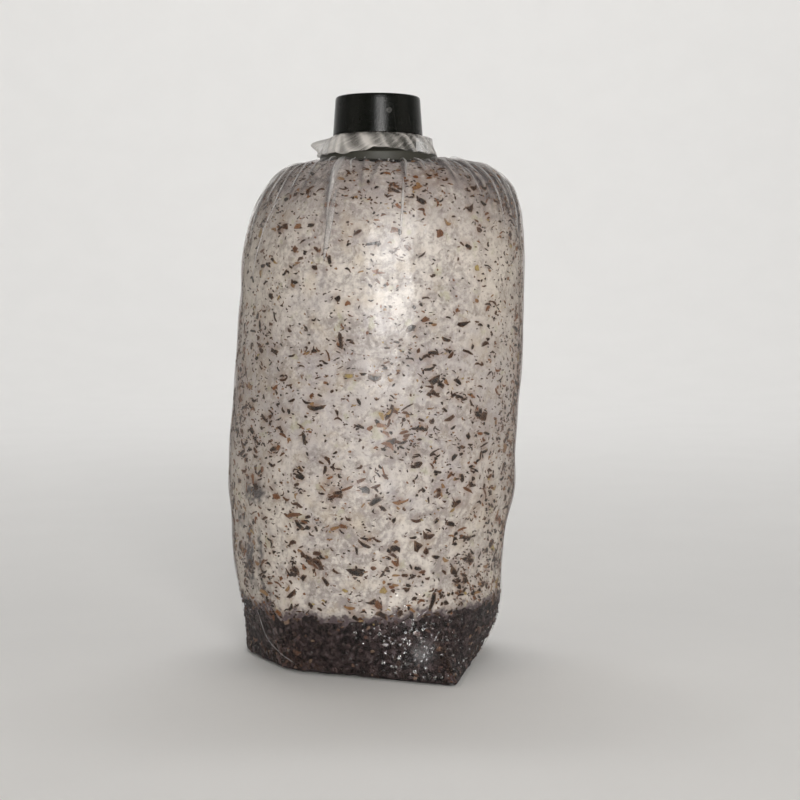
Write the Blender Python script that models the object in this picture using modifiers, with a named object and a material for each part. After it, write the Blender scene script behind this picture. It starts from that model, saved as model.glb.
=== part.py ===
"""Oyster mushroom grow bag: a clear film bag packed with sawdust that mycelium has grown through.

The film runs over a pleated shoulder, up through a plastic neck collar, over its rim and down outside it,
and a push-on cap closes the neck over a cotton plug. Metres, +Z up. The origin is on the neck's axis at the
floor, and the front faces -Y.
"""
import math

import bmesh
import bpy
import numpy as np

MM = 0.001

# Film bag
COLUMNS = 48                 # points around every section of the bag
FILM = 0.4 * MM              # thickness of the film's wall
GAP = 0.35 * MM              # clearance between neighbouring pieces

# Folded base: straight sides as (azimuth in degrees, distance) from the wall's centre at the floor
BASE_SIDES = (
    (-110, 46.4 * MM),       # front
    (-10, 44.0 * MM),        # right
    (32, 47.0 * MM),         # tucked corner, back right
    (78, 46.0 * MM),         # back
    (120, 52.0 * MM),        # tucked corner, back left
    (165, 52.0 * MM),        # left
    (-150, 46.5 * MM),       # tucked corner, front left
)
EAR_AZIMUTH = -61.0          # the one corner that stays pointed
CORNER_SHARPNESS = 36.0
BASE_BLEND = 28.0 * MM       # height over which the square base turns round
BASE_FLARE = 2.0

# Wall: height, sideways lean of its centre, radius
WALL = (
    (0.0, -2.5 * MM, 52.0 * MM),
    (20 * MM, -2.5 * MM, 53.3 * MM),
    (40 * MM, -4.1 * MM, 54.8 * MM),
    (54 * MM, -3.4 * MM, 56.2 * MM),
    (68 * MM, -2.5 * MM, 57.8 * MM),
    (88 * MM, -1.8 * MM, 57.8 * MM),
    (104 * MM, -0.8 * MM, 57.8 * MM),
    (125 * MM, 0.8 * MM, 58.0 * MM),
    (150 * MM, 2.0 * MM, 57.5 * MM),
)
WALL_ROWS = (3, 8, 14, 20, 27, 40, 54, 68, 88, 108, 130)   # millimetres

# Shoulder: a superellipse from the wall to the collar, squarer on the right than on the left
SHOULDER_START = 150 * MM
SHOULDER_TOP = 200.6 * MM
SHOULDER_TILT = -0.8 * MM
SHOULDER_POWER = 3.0
SHOULDER_POWER_TILT = 0.9
SHOULDER_ROWS = 9
PLEATS = 16
PLEAT_DEPTH = 0.9 * MM
PLEAT_REACH = 0.7            # share of the shoulder, from the collar outwards, that is pleated

# Neck collar
FLANGE_RADIUS = 23.5 * MM
FLANGE_BOTTOM = 200.6 * MM
FLANGE_TOP = 204.4 * MM
FLANGE_WALL = 1.5 * MM
BORE_RADIUS = 13.6 * MM
TUBE_RADIUS = 15.5 * MM
TUBE_TOP = 222.0 * MM

# Cap
CAP_BOTTOM = 212.1 * MM
CAP_TOP = 227.5 * MM
CAP_RADIUS_BOTTOM = 18.2 * MM
CAP_RADIUS_TOP = 17.1 * MM
CAP_WALL = 1.2 * MM
CAP_ROUND = 0.8 * MM
NUB_AZIMUTH = -75.0
NUB_HEIGHT = 220.6 * MM
NUB_RADIUS = 1.2 * MM
NUB_DEPTH = 0.5 * MM

# Skirt of film that hangs from under the cap
HEM_RADIUS = 23.2 * MM
HEM_HEIGHT = 205.0 * MM
HEM_WAVE = 0.35 * MM

# Sawdust
SPLIT_HEIGHT = 25.0 * MM     # where the colonised block meets the bare sawdust
INSET = FILM / 2 + GAP       # from the film's middle surface to the sawdust

# Cotton plug
PLUG_BOTTOM = 203.0 * MM
PLUG_TOP = 225.0 * MM
PLUG_RADIUS = BORE_RADIUS - FILM - 2 * GAP


def clear_scene():
    """Remove everything that the scene holds."""
    for item in list(bpy.data.objects):
        bpy.data.objects.remove(item, do_unlink=True)


def new_collection(name):
    """A collection linked to the scene."""
    collection = bpy.data.collections.new(name)
    bpy.context.scene.collection.children.link(collection)
    return collection


def new_material(name, colour, roughness, metallic=0.0):
    """A Principled material of one colour."""
    material = bpy.data.materials.new(name)
    material.use_nodes = True
    shader = material.node_tree.nodes["Principled BSDF"]
    shader.inputs["Base Color"].default_value = (*colour, 1.0)
    shader.inputs["Roughness"].default_value = roughness
    shader.inputs["Metallic"].default_value = metallic
    return material


def new_object(name, mesh, collection, material):
    """An object for a mesh, in its collection and with its material."""
    mesh.materials.append(material)
    item = bpy.data.objects.new(name, mesh)
    collection.objects.link(item)
    return item


def smooth_table(heights, table):
    """Read lean and radius at the heights from a table, easing between its rows."""
    rows = np.array(table)
    place = np.clip(np.searchsorted(rows[:, 0], heights) - 1, 0, len(rows) - 2)
    low, high = rows[place], rows[place + 1]
    share = np.clip((heights - low[..., 0]) / (high[..., 0] - low[..., 0]), 0.0, 1.0)
    slopes = np.gradient(rows[:, 1:], rows[:, 0], axis=0)
    span = (high[..., 0] - low[..., 0])[..., None]
    s = share[..., None]
    value = (low[..., 1:] * (2 * s**3 - 3 * s**2 + 1) + high[..., 1:] * (3 * s**2 - 2 * s**3)
             + slopes[place] * span * (s**3 - 2 * s**2 + s) + slopes[place + 1] * span * (s**3 - s**2))
    return value[..., 0], value[..., 1]


def base_radius(theta):
    """Outline of the folded base: the nearest of its straight sides, with its corners barely rounded."""
    total = np.zeros_like(theta)
    for azimuth, distance in BASE_SIDES:
        facing = np.cos(theta - math.radians(azimuth))
        total += (np.maximum(facing, 0.0) / distance) ** CORNER_SHARPNESS
    return total ** (-1.0 / CORNER_SHARPNESS)


def wall_ring(theta, height):
    """One ring of the wall: the square base's outline low down, a circle from BASE_BLEND up."""
    lean, radius = smooth_table(np.array(height), WALL)
    rise = np.clip(height / BASE_BLEND, 0.0, 1.0)
    roundness = 1.0 - (1.0 - rise) ** BASE_FLARE
    reach = base_radius(theta) * (1.0 - roundness) + radius * roundness
    x = lean + reach * np.cos(theta)
    y = reach * np.sin(theta)
    return np.stack([x, y, np.full_like(theta, height)], axis=1)


def shoulder_ring(theta, turn):
    """One ring of the shoulder, as turn goes from 0 at the wall to a quarter turn at the collar."""
    power = SHOULDER_POWER + SHOULDER_POWER_TILT * np.cos(theta)
    scale = (math.cos(turn) ** power + math.sin(turn) ** power) ** (-1.0 / power)
    outward = math.cos(turn) * scale
    upward = math.sin(turn) * scale
    lean, radius = smooth_table(np.array(SHOULDER_START), WALL)
    reach = FLANGE_RADIUS + (radius - FLANGE_RADIUS) * outward
    top = SHOULDER_TOP + SHOULDER_TILT * np.cos(theta)
    x = reach * np.cos(theta) + lean * outward
    y = reach * np.sin(theta)
    z = SHOULDER_START + (top - SHOULDER_START) * upward
    return np.stack([x, y, z], axis=1)


def level_ring(theta, radius, height):
    """A plain circle about the neck's axis."""
    full = np.full_like(theta, height)
    return np.stack([radius * np.cos(theta), radius * np.sin(theta), full], axis=1)


def body_rings(theta, lowest):
    """The rings of the bag's filled body, from a lowest height up to the neck."""
    heights = [height * MM for height in WALL_ROWS if height * MM > lowest]
    rings = [wall_ring(theta, height) for height in [lowest, *heights]]
    for step in range(SHOULDER_ROWS):
        rings.append(shoulder_ring(theta, 0.5 * math.pi * step / SHOULDER_ROWS))
    return rings


def pleat(rings, theta):
    """Raise folds that run from the collar outwards over the shoulder, along the surface's normal."""
    first = len(rings) - SHOULDER_ROWS
    for step in range(1, SHOULDER_ROWS):
        nearness = step / SHOULDER_ROWS
        share = np.clip((nearness - 1.0 + PLEAT_REACH) / PLEAT_REACH, 0.0, 1.0)
        height = PLEAT_DEPTH * math.sin(math.pi * share**0.7)
        fold = 0.5 + 0.5 * np.cos(PLEATS * theta)
        slope = 0.5 * math.pi * nearness
        rings[first + step][:, 0] += height * fold * np.cos(theta) * math.cos(slope)
        rings[first + step][:, 1] += height * fold * np.sin(theta) * math.cos(slope)
        rings[first + step][:, 2] += height * fold * math.sin(slope)


def neck_rings(theta):
    """The rings of the film through the collar, over its rim, down outside it and out into the skirt."""
    inside = BORE_RADIUS - GAP - FILM / 2
    outside = TUBE_RADIUS + GAP + FILM / 2
    rim = 0.5 * (outside - inside)
    middle = 0.5 * (outside + inside)
    under = FLANGE_BOTTOM - GAP - FILM / 2
    over = TUBE_TOP + GAP + FILM / 2 - rim * 0.4
    rings = [
        level_ring(theta, FLANGE_RADIUS + 0.6 * MM, under),
        level_ring(theta, inside + 0.8 * MM, under),
        level_ring(theta, inside, under + 0.8 * MM),
        level_ring(theta, inside, over),
        level_ring(theta, middle, over + rim * 0.4),
        level_ring(theta, outside, over),
        level_ring(theta, outside, CAP_BOTTOM + 0.4 * MM),
        level_ring(theta, outside + 0.5 * MM, CAP_BOTTOM - 0.6 * MM),
    ]
    for share in (0.55, 1.0):
        wave = share * HEM_WAVE * np.cos(PLEATS * theta)
        belly = math.sin(0.5 * math.pi * share)
        start = outside + 0.5 * MM
        radius = start + (HEM_RADIUS - start) * belly + wave
        height = CAP_BOTTOM - 0.6 * MM - (CAP_BOTTOM - 0.6 * MM - HEM_HEIGHT) * share**1.8
        rings.append(level_ring(theta, radius, height))
    return rings


def loft(name, rings, close_first, close_last):
    """A mesh of quads between rings of equal count, with flat ends where they are asked for."""
    count = len(rings[0])
    points = np.concatenate(rings)
    around = np.arange(count)
    beside = (around + 1) % count
    faces = []
    for row in range(len(rings) - 1):
        low, high = row * count, (row + 1) * count
        faces.extend(np.stack([low + around, low + beside, high + beside, high + around], axis=1).tolist())
    if close_first:
        faces.append(around[::-1].tolist())
    if close_last:
        faces.append(((len(rings) - 1) * count + around).tolist())
    mesh = bpy.data.meshes.new(name)
    mesh.from_pydata(points.tolist(), [], faces)
    mesh.update()
    return mesh


def inset(mesh, distance):
    """Move every point of a closed mesh in along its normal, keeping its flat ends level."""
    form = bmesh.new()
    form.from_mesh(mesh)
    form.normal_update()
    lowest = min(point.co.z for point in form.verts)
    moves = {}
    for point in form.verts:
        sides = [face.normal for face in point.link_faces if len(face.verts) == 4]
        normal = sum(sides[1:], sides[0].copy()).normalized()
        if point.co.z < lowest + 0.01 * MM:
            normal.z = 0.0
        moves[point] = normal * distance
    for point, move in moves.items():
        point.co -= move
    form.to_mesh(mesh)
    form.free()
    mesh.update()


def columns():
    """Azimuths of the bag's columns of points, one of them on the pointed ear."""
    return math.radians(EAR_AZIMUTH) + np.arange(COLUMNS) * 2 * math.pi / COLUMNS


def make_film_bag(collection, material):
    """The film: base, wall, pleated shoulder, neck and skirt, as one open surface given its wall."""
    theta = columns()
    rings = body_rings(theta, FILM / 2)
    pleat(rings, theta)
    mesh = loft("film_bag", rings + neck_rings(theta), close_first=True, close_last=False)
    bag = new_object("film_bag", mesh, collection, material)
    wall = bag.modifiers.new("wall", 'SOLIDIFY')
    wall.thickness = FILM
    wall.offset = 0.0
    wall.use_even_offset = True
    mesh.shade_smooth()
    return bag


def make_mycelium_block(collection, material):
    """The white block: the body's form from the split up, inset from the film, flat across its top."""
    theta = columns()
    rings = body_rings(theta, SPLIT_HEIGHT + GAP / 2)
    top = FLANGE_BOTTOM - GAP - FILM
    rings.append(level_ring(theta, FLANGE_RADIUS, top))
    mesh = loft("mycelium_block", rings, close_first=True, close_last=True)
    inset(mesh, INSET)
    mesh.shade_smooth()
    mesh.set_sharp_from_angle(angle=math.radians(40))
    return new_object("mycelium_block", mesh, collection, material)


def make_sawdust_base(collection, material):
    """The dark sawdust: the body's form below the split, standing on the film's base."""
    theta = columns()
    rows = [height * MM for height in WALL_ROWS if height * MM < SPLIT_HEIGHT - GAP]
    heights = [FILM + GAP, *rows, SPLIT_HEIGHT - GAP / 2]
    rings = [wall_ring(theta, height) for height in heights]
    mesh = loft("sawdust_base", rings, close_first=True, close_last=True)
    inset(mesh, INSET)
    for point in mesh.vertices:
        point.co.z = min(point.co.z, SPLIT_HEIGHT - GAP / 2)
    mesh.shade_smooth()
    mesh.set_sharp_from_angle(angle=math.radians(40))
    return new_object("sawdust_base", mesh, collection, material)


def turned(name, profile, closed, steps, collection, material):
    """A turned piece: a profile of (radius, height) points at +X, swept about the neck's axis."""
    points = [(radius, 0.0, height) for radius, height in profile]
    edges = [(i, i + 1) for i in range(len(points) - 1)]
    if closed:
        edges.append((len(points) - 1, 0))
    mesh = bpy.data.meshes.new(name)
    mesh.from_pydata(points, edges, [])
    item = new_object(name, mesh, collection, material)
    screw = item.modifiers.new("turn", 'SCREW')
    screw.axis = 'Z'
    screw.angle = math.radians(360)
    screw.steps = steps
    screw.render_steps = steps
    screw.use_merge_vertices = True
    screw.merge_threshold = 0.00001
    screw.use_smooth_shade = True
    return item


def make_neck_collar(collection, material):
    """The collar: a tube on a flange whose rim turns down to rest on the gathered film."""
    cone_top = FLANGE_TOP + 1.4 * MM
    profile = (
        (BORE_RADIUS + 0.5 * MM, TUBE_TOP),
        (TUBE_RADIUS - 0.5 * MM, TUBE_TOP),
        (TUBE_RADIUS, TUBE_TOP - 0.6 * MM),
        (TUBE_RADIUS, cone_top),
        (FLANGE_RADIUS - 0.6 * MM, FLANGE_TOP),
        (FLANGE_RADIUS, FLANGE_TOP - 0.6 * MM),
        (FLANGE_RADIUS, FLANGE_BOTTOM),
        (FLANGE_RADIUS - FLANGE_WALL, FLANGE_BOTTOM),
        (FLANGE_RADIUS - FLANGE_WALL, FLANGE_TOP - FLANGE_WALL),
        (TUBE_RADIUS, FLANGE_TOP - FLANGE_WALL),
        (TUBE_RADIUS, FLANGE_BOTTOM),
        (BORE_RADIUS + 0.5 * MM, FLANGE_BOTTOM),
        (BORE_RADIUS, FLANGE_BOTTOM + 0.6 * MM),
        (BORE_RADIUS, TUBE_TOP - 0.6 * MM),
    )
    return turned("neck_collar", profile, True, 32, collection, material)


def make_cap(collection, cutters, material):
    """The cap: a tapered cup, open downwards, with a small moulding nub on its side."""
    profile = (
        (0.0, CAP_TOP),
        (CAP_RADIUS_TOP - CAP_ROUND, CAP_TOP),
        (CAP_RADIUS_TOP - 0.3 * CAP_ROUND, CAP_TOP - 0.3 * CAP_ROUND),
        (CAP_RADIUS_TOP, CAP_TOP - CAP_ROUND),
        (CAP_RADIUS_BOTTOM, CAP_BOTTOM),
        (CAP_RADIUS_BOTTOM - CAP_WALL, CAP_BOTTOM),
        (CAP_RADIUS_TOP - CAP_WALL + 0.5 * MM, CAP_TOP - 1.5 * MM),
        (0.0, CAP_TOP - 1.5 * MM),
    )
    cap = turned("cap", profile, False, 40, collection, material)
    height_share = (NUB_HEIGHT - CAP_BOTTOM) / (CAP_TOP - CAP_BOTTOM)
    wall = CAP_RADIUS_BOTTOM + (CAP_RADIUS_TOP - CAP_RADIUS_BOTTOM) * height_share
    nub = make_nub(wall, cutters, material)
    join = cap.modifiers.new("nub", 'BOOLEAN')
    join.operation = 'UNION'
    join.solver = 'EXACT'
    join.object = nub
    return cap


def make_nub(wall, cutters, material):
    """The nub that the mould's gate left: a short tapered stud, set into the cap's wall."""
    form = bmesh.new()
    depth = NUB_DEPTH + 0.8 * MM
    bmesh.ops.create_cone(form, cap_ends=True, segments=16, radius1=NUB_RADIUS,
                          radius2=0.7 * NUB_RADIUS, depth=depth)
    mesh = bpy.data.meshes.new("nub")
    form.to_mesh(mesh)
    form.free()
    nub = new_object("nub", mesh, cutters, material)
    azimuth = math.radians(NUB_AZIMUTH)
    reach = wall + NUB_DEPTH - depth / 2
    nub.location = (reach * math.cos(azimuth), reach * math.sin(azimuth), NUB_HEIGHT)
    nub.rotation_euler = (0.0, math.radians(90), azimuth)
    nub.hide_render = True
    nub.display_type = 'WIRE'
    return nub


def make_cotton_plug(collection, material):
    """The cotton filter plug: a soft round stopper, crowned at both ends."""
    crown = 2.5 * MM
    profile = (
        (0.0, PLUG_TOP),
        (0.6 * PLUG_RADIUS, PLUG_TOP - 0.25 * crown),
        (0.9 * PLUG_RADIUS, PLUG_TOP - 0.6 * crown),
        (PLUG_RADIUS, PLUG_TOP - 1.6 * crown),
        (PLUG_RADIUS, PLUG_BOTTOM + 1.6 * crown),
        (0.9 * PLUG_RADIUS, PLUG_BOTTOM + 0.6 * crown),
        (0.6 * PLUG_RADIUS, PLUG_BOTTOM + 0.25 * crown),
        (0.0, PLUG_BOTTOM),
    )
    return turned("cotton_plug", profile, False, 20, collection, material)


def main():
    clear_scene()
    parts = new_collection("oyster_mushroom_grow_bag")
    cutters = new_collection("cutters")
    film = new_material("clear_film", (0.72, 0.70, 0.67), 0.22)
    mycelium = new_material("mycelium", (0.52, 0.47, 0.42), 0.85)
    sawdust = new_material("wet_sawdust", (0.045, 0.034, 0.032), 0.80)
    plastic = new_material("dark_plastic", (0.030, 0.032, 0.026), 0.38)
    cotton = new_material("cotton", (0.78, 0.76, 0.72), 0.95)
    make_film_bag(parts, film)
    make_mycelium_block(parts, mycelium)
    make_sawdust_base(parts, sawdust)
    make_neck_collar(parts, plastic)
    make_cap(parts, cutters, plastic)
    make_cotton_plug(parts, cotton)


main()
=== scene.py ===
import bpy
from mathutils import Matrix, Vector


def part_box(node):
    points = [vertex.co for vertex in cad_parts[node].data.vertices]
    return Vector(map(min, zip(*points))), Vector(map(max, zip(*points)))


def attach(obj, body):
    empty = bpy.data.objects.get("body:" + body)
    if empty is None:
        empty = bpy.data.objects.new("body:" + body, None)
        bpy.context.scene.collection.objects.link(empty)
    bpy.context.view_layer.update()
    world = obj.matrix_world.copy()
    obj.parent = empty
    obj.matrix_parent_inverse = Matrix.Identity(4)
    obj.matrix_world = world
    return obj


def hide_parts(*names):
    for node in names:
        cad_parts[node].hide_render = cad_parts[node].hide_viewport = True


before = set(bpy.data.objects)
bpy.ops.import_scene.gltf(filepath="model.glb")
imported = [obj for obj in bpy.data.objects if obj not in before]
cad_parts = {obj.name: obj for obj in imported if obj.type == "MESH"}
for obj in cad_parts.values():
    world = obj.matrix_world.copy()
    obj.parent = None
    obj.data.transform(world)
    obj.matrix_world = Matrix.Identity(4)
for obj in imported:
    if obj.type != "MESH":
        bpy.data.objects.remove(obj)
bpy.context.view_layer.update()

import math
import bpy
import numpy as np

mm = 0.001
white = (1.0, 1.0, 1.0)


def nodeBox(name):  # lowest and highest corner of a CAD node, in millimetres
    low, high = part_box(name)
    return np.array(low) / mm, np.array(high) / mm


collarLow, collarHigh = nodeBox("neck_collar")
capLow, capHigh = nodeBox("cap")
splitHeight = 0.5 * (nodeBox("sawdust_base")[1][2] + nodeBox("mycelium_block")[0][2])


def unit(vectors):  # each scaled to length one
    return vectors / np.maximum(np.linalg.norm(vectors, axis=-1, keepdims=True), 1e-9)


# smooth noise: a sum of plane waves with random directions and phases, about -1 to 1
def waveNoise(points, size, seed):
    waves = 26
    rng = np.random.default_rng(seed)
    directions = unit(rng.normal(size=(waves, 3))) * 2 * np.pi / size
    directions *= rng.uniform(0.6, 1.5, (waves, 1))
    phases = rng.uniform(0, 2 * np.pi, waves)
    return np.sin(points @ directions.T + phases).sum(axis=-1) / math.sqrt(2 * waves)


def layeredNoise(points, *layers):  # each layer: strength, size, seed
    return sum(strength * waveNoise(points, size, seed) for strength, size, seed in layers)


def smoothStep(value, low, high):
    share = np.clip((value - low) / (high - low), 0.0, 1.0)
    return share * share * (3 - 2 * share)


def wrapped(angle):  # to half a turn each way
    return (angle + np.pi) % (2 * np.pi) - np.pi


def turnGap(theta, azimuth):  # signed angle from an azimuth in degrees
    return wrapped(theta - math.radians(azimuth))


# 1 at an azimuth in degrees, falling away on both sides over a width in radians
def bell(theta, azimuth, width):
    return np.exp(-(turnGap(theta, azimuth) / width) ** 2)


def turns(count, shift=0.0):  # azimuths spaced round a full turn, each shifted by a share of a step
    return (np.arange(count) + shift) * 2 * np.pi / count


def polar(radius, theta, height):
    return np.stack(np.broadcast_arrays(radius * np.cos(theta), radius * np.sin(theta), height), axis=-1)


def drawnIn(ring, *shares):  # copies of a ring, drawn in towards the axis
    return np.stack([ring * np.array([share, share, 1.0]) for share in shares])


bag = dict(
    # straight sides of the folded base: azimuth in degrees and distance
    sides=((-110, 46.4), (-10, 44.0), (32, 47.0), (78, 46.0), (120, 52.0), (165, 52.0), (-150, 46.5)),
    earAzimuth=-61.0,
    # sharpness of the base's corners in the film and in what fills it
    filmSharpness=36.0,
    sawdustSharpness=24.0,
    # height over which the base's outline rounds, and how fast
    blend=28.0,
    flare=2.0,
    # height, lean of the centre, radius
    wall=((0, -2.5, 52.0), (20, -2.5, 53.3), (40, -4.1, 54.8), (54, -3.4, 56.2), (68, -2.5, 57.8),
          (88, -1.8, 57.8), (104, -0.8, 57.8), (125, 0.8, 58.0), (150, 2.0, 57.5)),
    girth=56.0,    # radius that turns an azimuth into a distance round the wall
    shoulderStart=150.0,
    shoulderArc=80.0,    # way from the wall to the collar, measured over the shoulder
    shoulderTop=200.6,
    shoulderTilt=-0.8,    # the top is this much lower on the right
    # how square the shoulder is, and how much more so on the right
    power=3.0,
    powerTilt=0.9,
    # dents and bulges: azimuth, height, size, how far they stand out
    dents=((5, 49, 7, -1.7), (178, 118, 26, 0.5), (172, 146, 9, -0.9), (-30, 96, 22, 0.5),
           (-120, 70, 30, 0.4), (-75, 30, 20, 0.5), (60, 90, 34, -0.6), (110, 50, 26, 0.6)),
)


# value and slope matched curve through the rows of a table, read at many heights
def easedTable(heights, table):
    rows = np.array(table, float)
    place = np.clip(np.searchsorted(rows[:, 0], heights) - 1, 0, len(rows) - 2)
    low, high = rows[place], rows[place + 1]
    span = (high[..., 0] - low[..., 0])[..., None]
    s = np.clip((heights[..., None] - low[..., :1]) / span, 0.0, 1.0)
    slopes = np.gradient(rows[:, 1:], rows[:, 0], axis=0)
    value = (low[..., 1:] * (2 * s**3 - 3 * s**2 + 1) + high[..., 1:] * (3 * s**2 - 2 * s**3)
             + slopes[place] * span * (s**3 - 2 * s**2 + s) + slopes[place + 1] * span * (s**3 - s**2))
    return value[..., 0], value[..., 1]


# outline of the folded base: the nearest of its straight sides, corners rounded by a power sum
def footOutline(theta, sharpness):
    total = np.zeros_like(theta)
    for azimuth, distance in bag["sides"]:
        total = total + (np.maximum(np.cos(turnGap(theta, azimuth)), 0.0) / distance) ** sharpness
    return total ** (-1.0 / sharpness)


# the bag's form, in millimetres. level 0 to 1 climbs the wall, whose rings blend the base's outline into a
# leaning circle; level 1 to 2 is the shoulder, a superellipse that closes in to the collar's flange
def bagForm(theta, level, sharpness):
    theta, level = np.broadcast_arrays(np.asarray(theta, float), np.asarray(level, float))
    height = np.minimum(level, 1.0) * bag["shoulderStart"]
    lean, radius = easedTable(height, bag["wall"])
    rise = np.clip(height / bag["blend"], 0.0, 1.0)
    roundness = 1 - (1 - rise) ** bag["flare"]
    reach = footOutline(theta, sharpness) * (1 - roundness) + radius * roundness
    turn = np.clip(level - 1, 0.0, 1.0) * np.pi / 2
    power = bag["power"] + bag["powerTilt"] * np.cos(theta)
    scale = (np.cos(turn) ** power + np.sin(turn) ** power) ** (-1 / power)
    outward, upward = np.cos(turn) * scale, np.sin(turn) * scale
    reach = collarHigh[0] + (reach - collarHigh[0]) * outward
    top = bag["shoulderTop"] + bag["shoulderTilt"] * np.cos(theta)
    return np.stack([reach * np.cos(theta) + lean * outward, reach * np.sin(theta),
                     height + (top - bag["shoulderStart"]) * upward], axis=-1)


# the level at which the form reaches a height at an azimuth, both read from lists
def levelAt(azimuth, height):
    steps = np.linspace(0, 2, 400)
    tracks = bagForm(azimuth[:, None], steps, bag["sawdustSharpness"])[..., 2]
    return np.array([np.interp(high, track, steps) for high, track in zip(height, tracks)])


# outward direction of the form, from small steps across and along it
def formNormal(theta, level, sharpness):
    step = 2e-3
    across = bagForm(theta + step, level, sharpness) - bagForm(theta - step, level, sharpness)
    along = bagForm(theta, level + step, sharpness) - bagForm(theta, level - step, sharpness)
    return unit(np.cross(across, along))


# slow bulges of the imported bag, shared by the film and what is in it
def lumps(points, theta, level):
    height = layeredNoise(points, (0.55, 62, 3), (0.28, 24, 4))
    height = height - 1.9 * smoothStep(level, 1.66, 1.93)    # dip beside the collar
    for azimuth, middle, size, stand in bag["dents"]:
        across = turnGap(theta, azimuth) * bag["girth"]
        height = height + stand * np.exp(-(across**2 + (points[..., 2] - middle) ** 2) / (2 * size**2))
    return height


pleats = dict(
    count=44, seed=21, reach=(14, 60), width=(0.9, 2.2), height=(0.3, 1.0), swirl=0.006,
    # longer folds: azimuth at the collar and at the far end, reach from the collar, width, height
    folds=((-112, -110.5, 66, 1.7, 1.5), (-73, -80, 50, 1.0, 1.0), (-48, -49, 44, 1.1, 1.3),
           (-42, -41, 52, 1.0, 1.3), (-36, -34, 58, 1.1, 1.4), (-30, -27, 60, 1.0, 1.3),
           (-24, -20, 66, 1.1, 1.4), (-16, -12, 72, 1.1, 1.2), (-165, -157, 76, 1.3, 1.6),
           (-174, -167, 70, 1.2, 1.4), (-156, -149, 62, 1.2, 1.3), (-147, -142, 52, 1.1, 1.0),
           (-128, -126, 42, 1.2, 1.2), (-120, -118, 34, 1.0, 1.0), (-98, -99, 26, 1.0, 0.9),
           (-60, -62, 34, 1.0, 1.0), (-106, -104, 34, 0.9, 0.9), (-88, -90, 24, 0.9, 0.8),
           (-82, -85, 30, 0.9, 0.8), (-66, -69, 40, 1.0, 1.0), (-54, -55, 46, 1.0, 1.1),
           (-136, -133, 50, 1.2, 1.1), (4, 8, 60, 1.2, 1.2), (25, 22, 48, 1.2, 1.3), (48, 52, 66, 1.3, 1.4),
           (75, 72, 54, 1.2, 1.1), (101, 104, 62, 1.2, 1.4), (132, 128, 48, 1.1, 1.2),
           (158, 161, 64, 1.3, 1.4)),
)


# folds of film that start at the collar, each a pointed bell: the long ones of the table, then random ones
def pleatHeights(theta, level):
    rng = np.random.default_rng(pleats["seed"])
    count = pleats["count"]
    start = turns(count, rng.uniform(-0.42, 0.42, count))
    reach = rng.uniform(*pleats["reach"], count)
    spare = np.column_stack([start, start + rng.normal(0, pleats["swirl"], count) * reach, reach,
                             rng.uniform(*pleats["width"], count), rng.uniform(*pleats["height"], count)])
    folds = np.array(pleats["folds"], float)
    folds[:, :2] = np.radians(folds[:, :2])
    theta, level = np.broadcast_arrays(theta, level)
    distance = (2 - level) * bag["shoulderArc"]
    radius = np.clip(collarHigh[0] + distance * 0.75, collarHigh[0], 58.0)
    total = np.zeros(theta.shape)
    for near, far, reach, width, height in np.concatenate([folds, spare]):
        across = wrapped(theta - near - (far - near) * distance / reach)
        fade = smoothStep(distance, 3.0, 16.0) * (1 - smoothStep(distance, 0.45 * reach, reach))
        total += height * fade * np.exp(-np.abs(across * radius / width) ** 1.3)
    return total


film = dict(
    columns=288, wallStep=1.75, shoulderStep=1.25, lift=0.26, wall=0.12, wrinkle=0.16,
    # radii of the rings under the flange, after one just inside its edge
    gathered=(19.0, 14.2),
)


def filmSurface(theta, level, lift=0.0):
    points = bagForm(theta, level, bag["filmSharpness"])
    normal = formNormal(theta, level, bag["filmSharpness"])
    theta, level = np.broadcast_arrays(theta, level)
    height = points[..., 2]
    bulge = lumps(points, theta, level) * smoothStep(height, 1.0, 14.0) * (1 - smoothStep(level, 1.85, 2.0))
    wrinkle = film["wrinkle"] * waveNoise(points * np.array([1.0, 1.0, 0.38]), 7.5, 8)
    wrinkle = wrinkle * smoothStep(height, 2.0, 12.0) * (1 - smoothStep(level, 1.75, 1.95))
    rise = bulge + wrinkle + pleatHeights(theta, level) + film["lift"] + lift
    return points + normal * rise[..., None], normal


fringe = dict(
    # how far each material draws back from the film where the other takes over, within what height
    recede=1.9, depth=2.6,
    noise=((1.3, 21, 31), (1.2, 6.5, 32), (0.7, 2.4, 33)),    # strength, size, seed
)


# height at which the white gives way to bare sawdust: lowest at the front, ragged by three sizes of noise
def fringeHeight(points, theta):
    return splitHeight + 1.2 - 2.0 * bell(theta, -100, 0.75) + layeredNoise(points, *fringe["noise"])


# what fills the bag, an inset in from the form and rough by layers of noise. it draws back from the film
# past the border: the growth below it, with side 1, and the sawdust above it, with side -1
def packedSurface(theta, level, inset, layers, side):
    points = bagForm(theta, level, bag["sawdustSharpness"])
    normal = formNormal(theta, level, bag["sawdustSharpness"])
    theta, level = np.broadcast_arrays(theta, level)
    rise = lumps(points, theta, level) * smoothStep(points[..., 2], 1.0, 14.0)
    rise = rise + 0.9 * pleatHeights(theta, level)
    # the film stands off a little on the shoulder
    slack = 0.15 * smoothStep(level, 1.05, 1.4) + 0.5 * smoothStep(level, 1.88, 2.0)
    past = smoothStep(side * (fringeHeight(points, theta) - points[..., 2]), 0.0, fringe["depth"])
    rise = rise - inset - slack + layeredNoise(points, *layers) - fringe["recede"] * past
    return points + normal * rise[..., None], normal


def blockSurface(theta, level):
    return packedSurface(theta, level, 0.30, ((0.26, 11, 5), (0.13, 4.2, 6), (0.06, 1.9, 7)), 1)


def sawdustSurface(theta, level):
    return packedSurface(theta, level, 0.82, ((0.30, 5.5, 15), (0.20, 2.6, 16)), -1)


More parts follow.
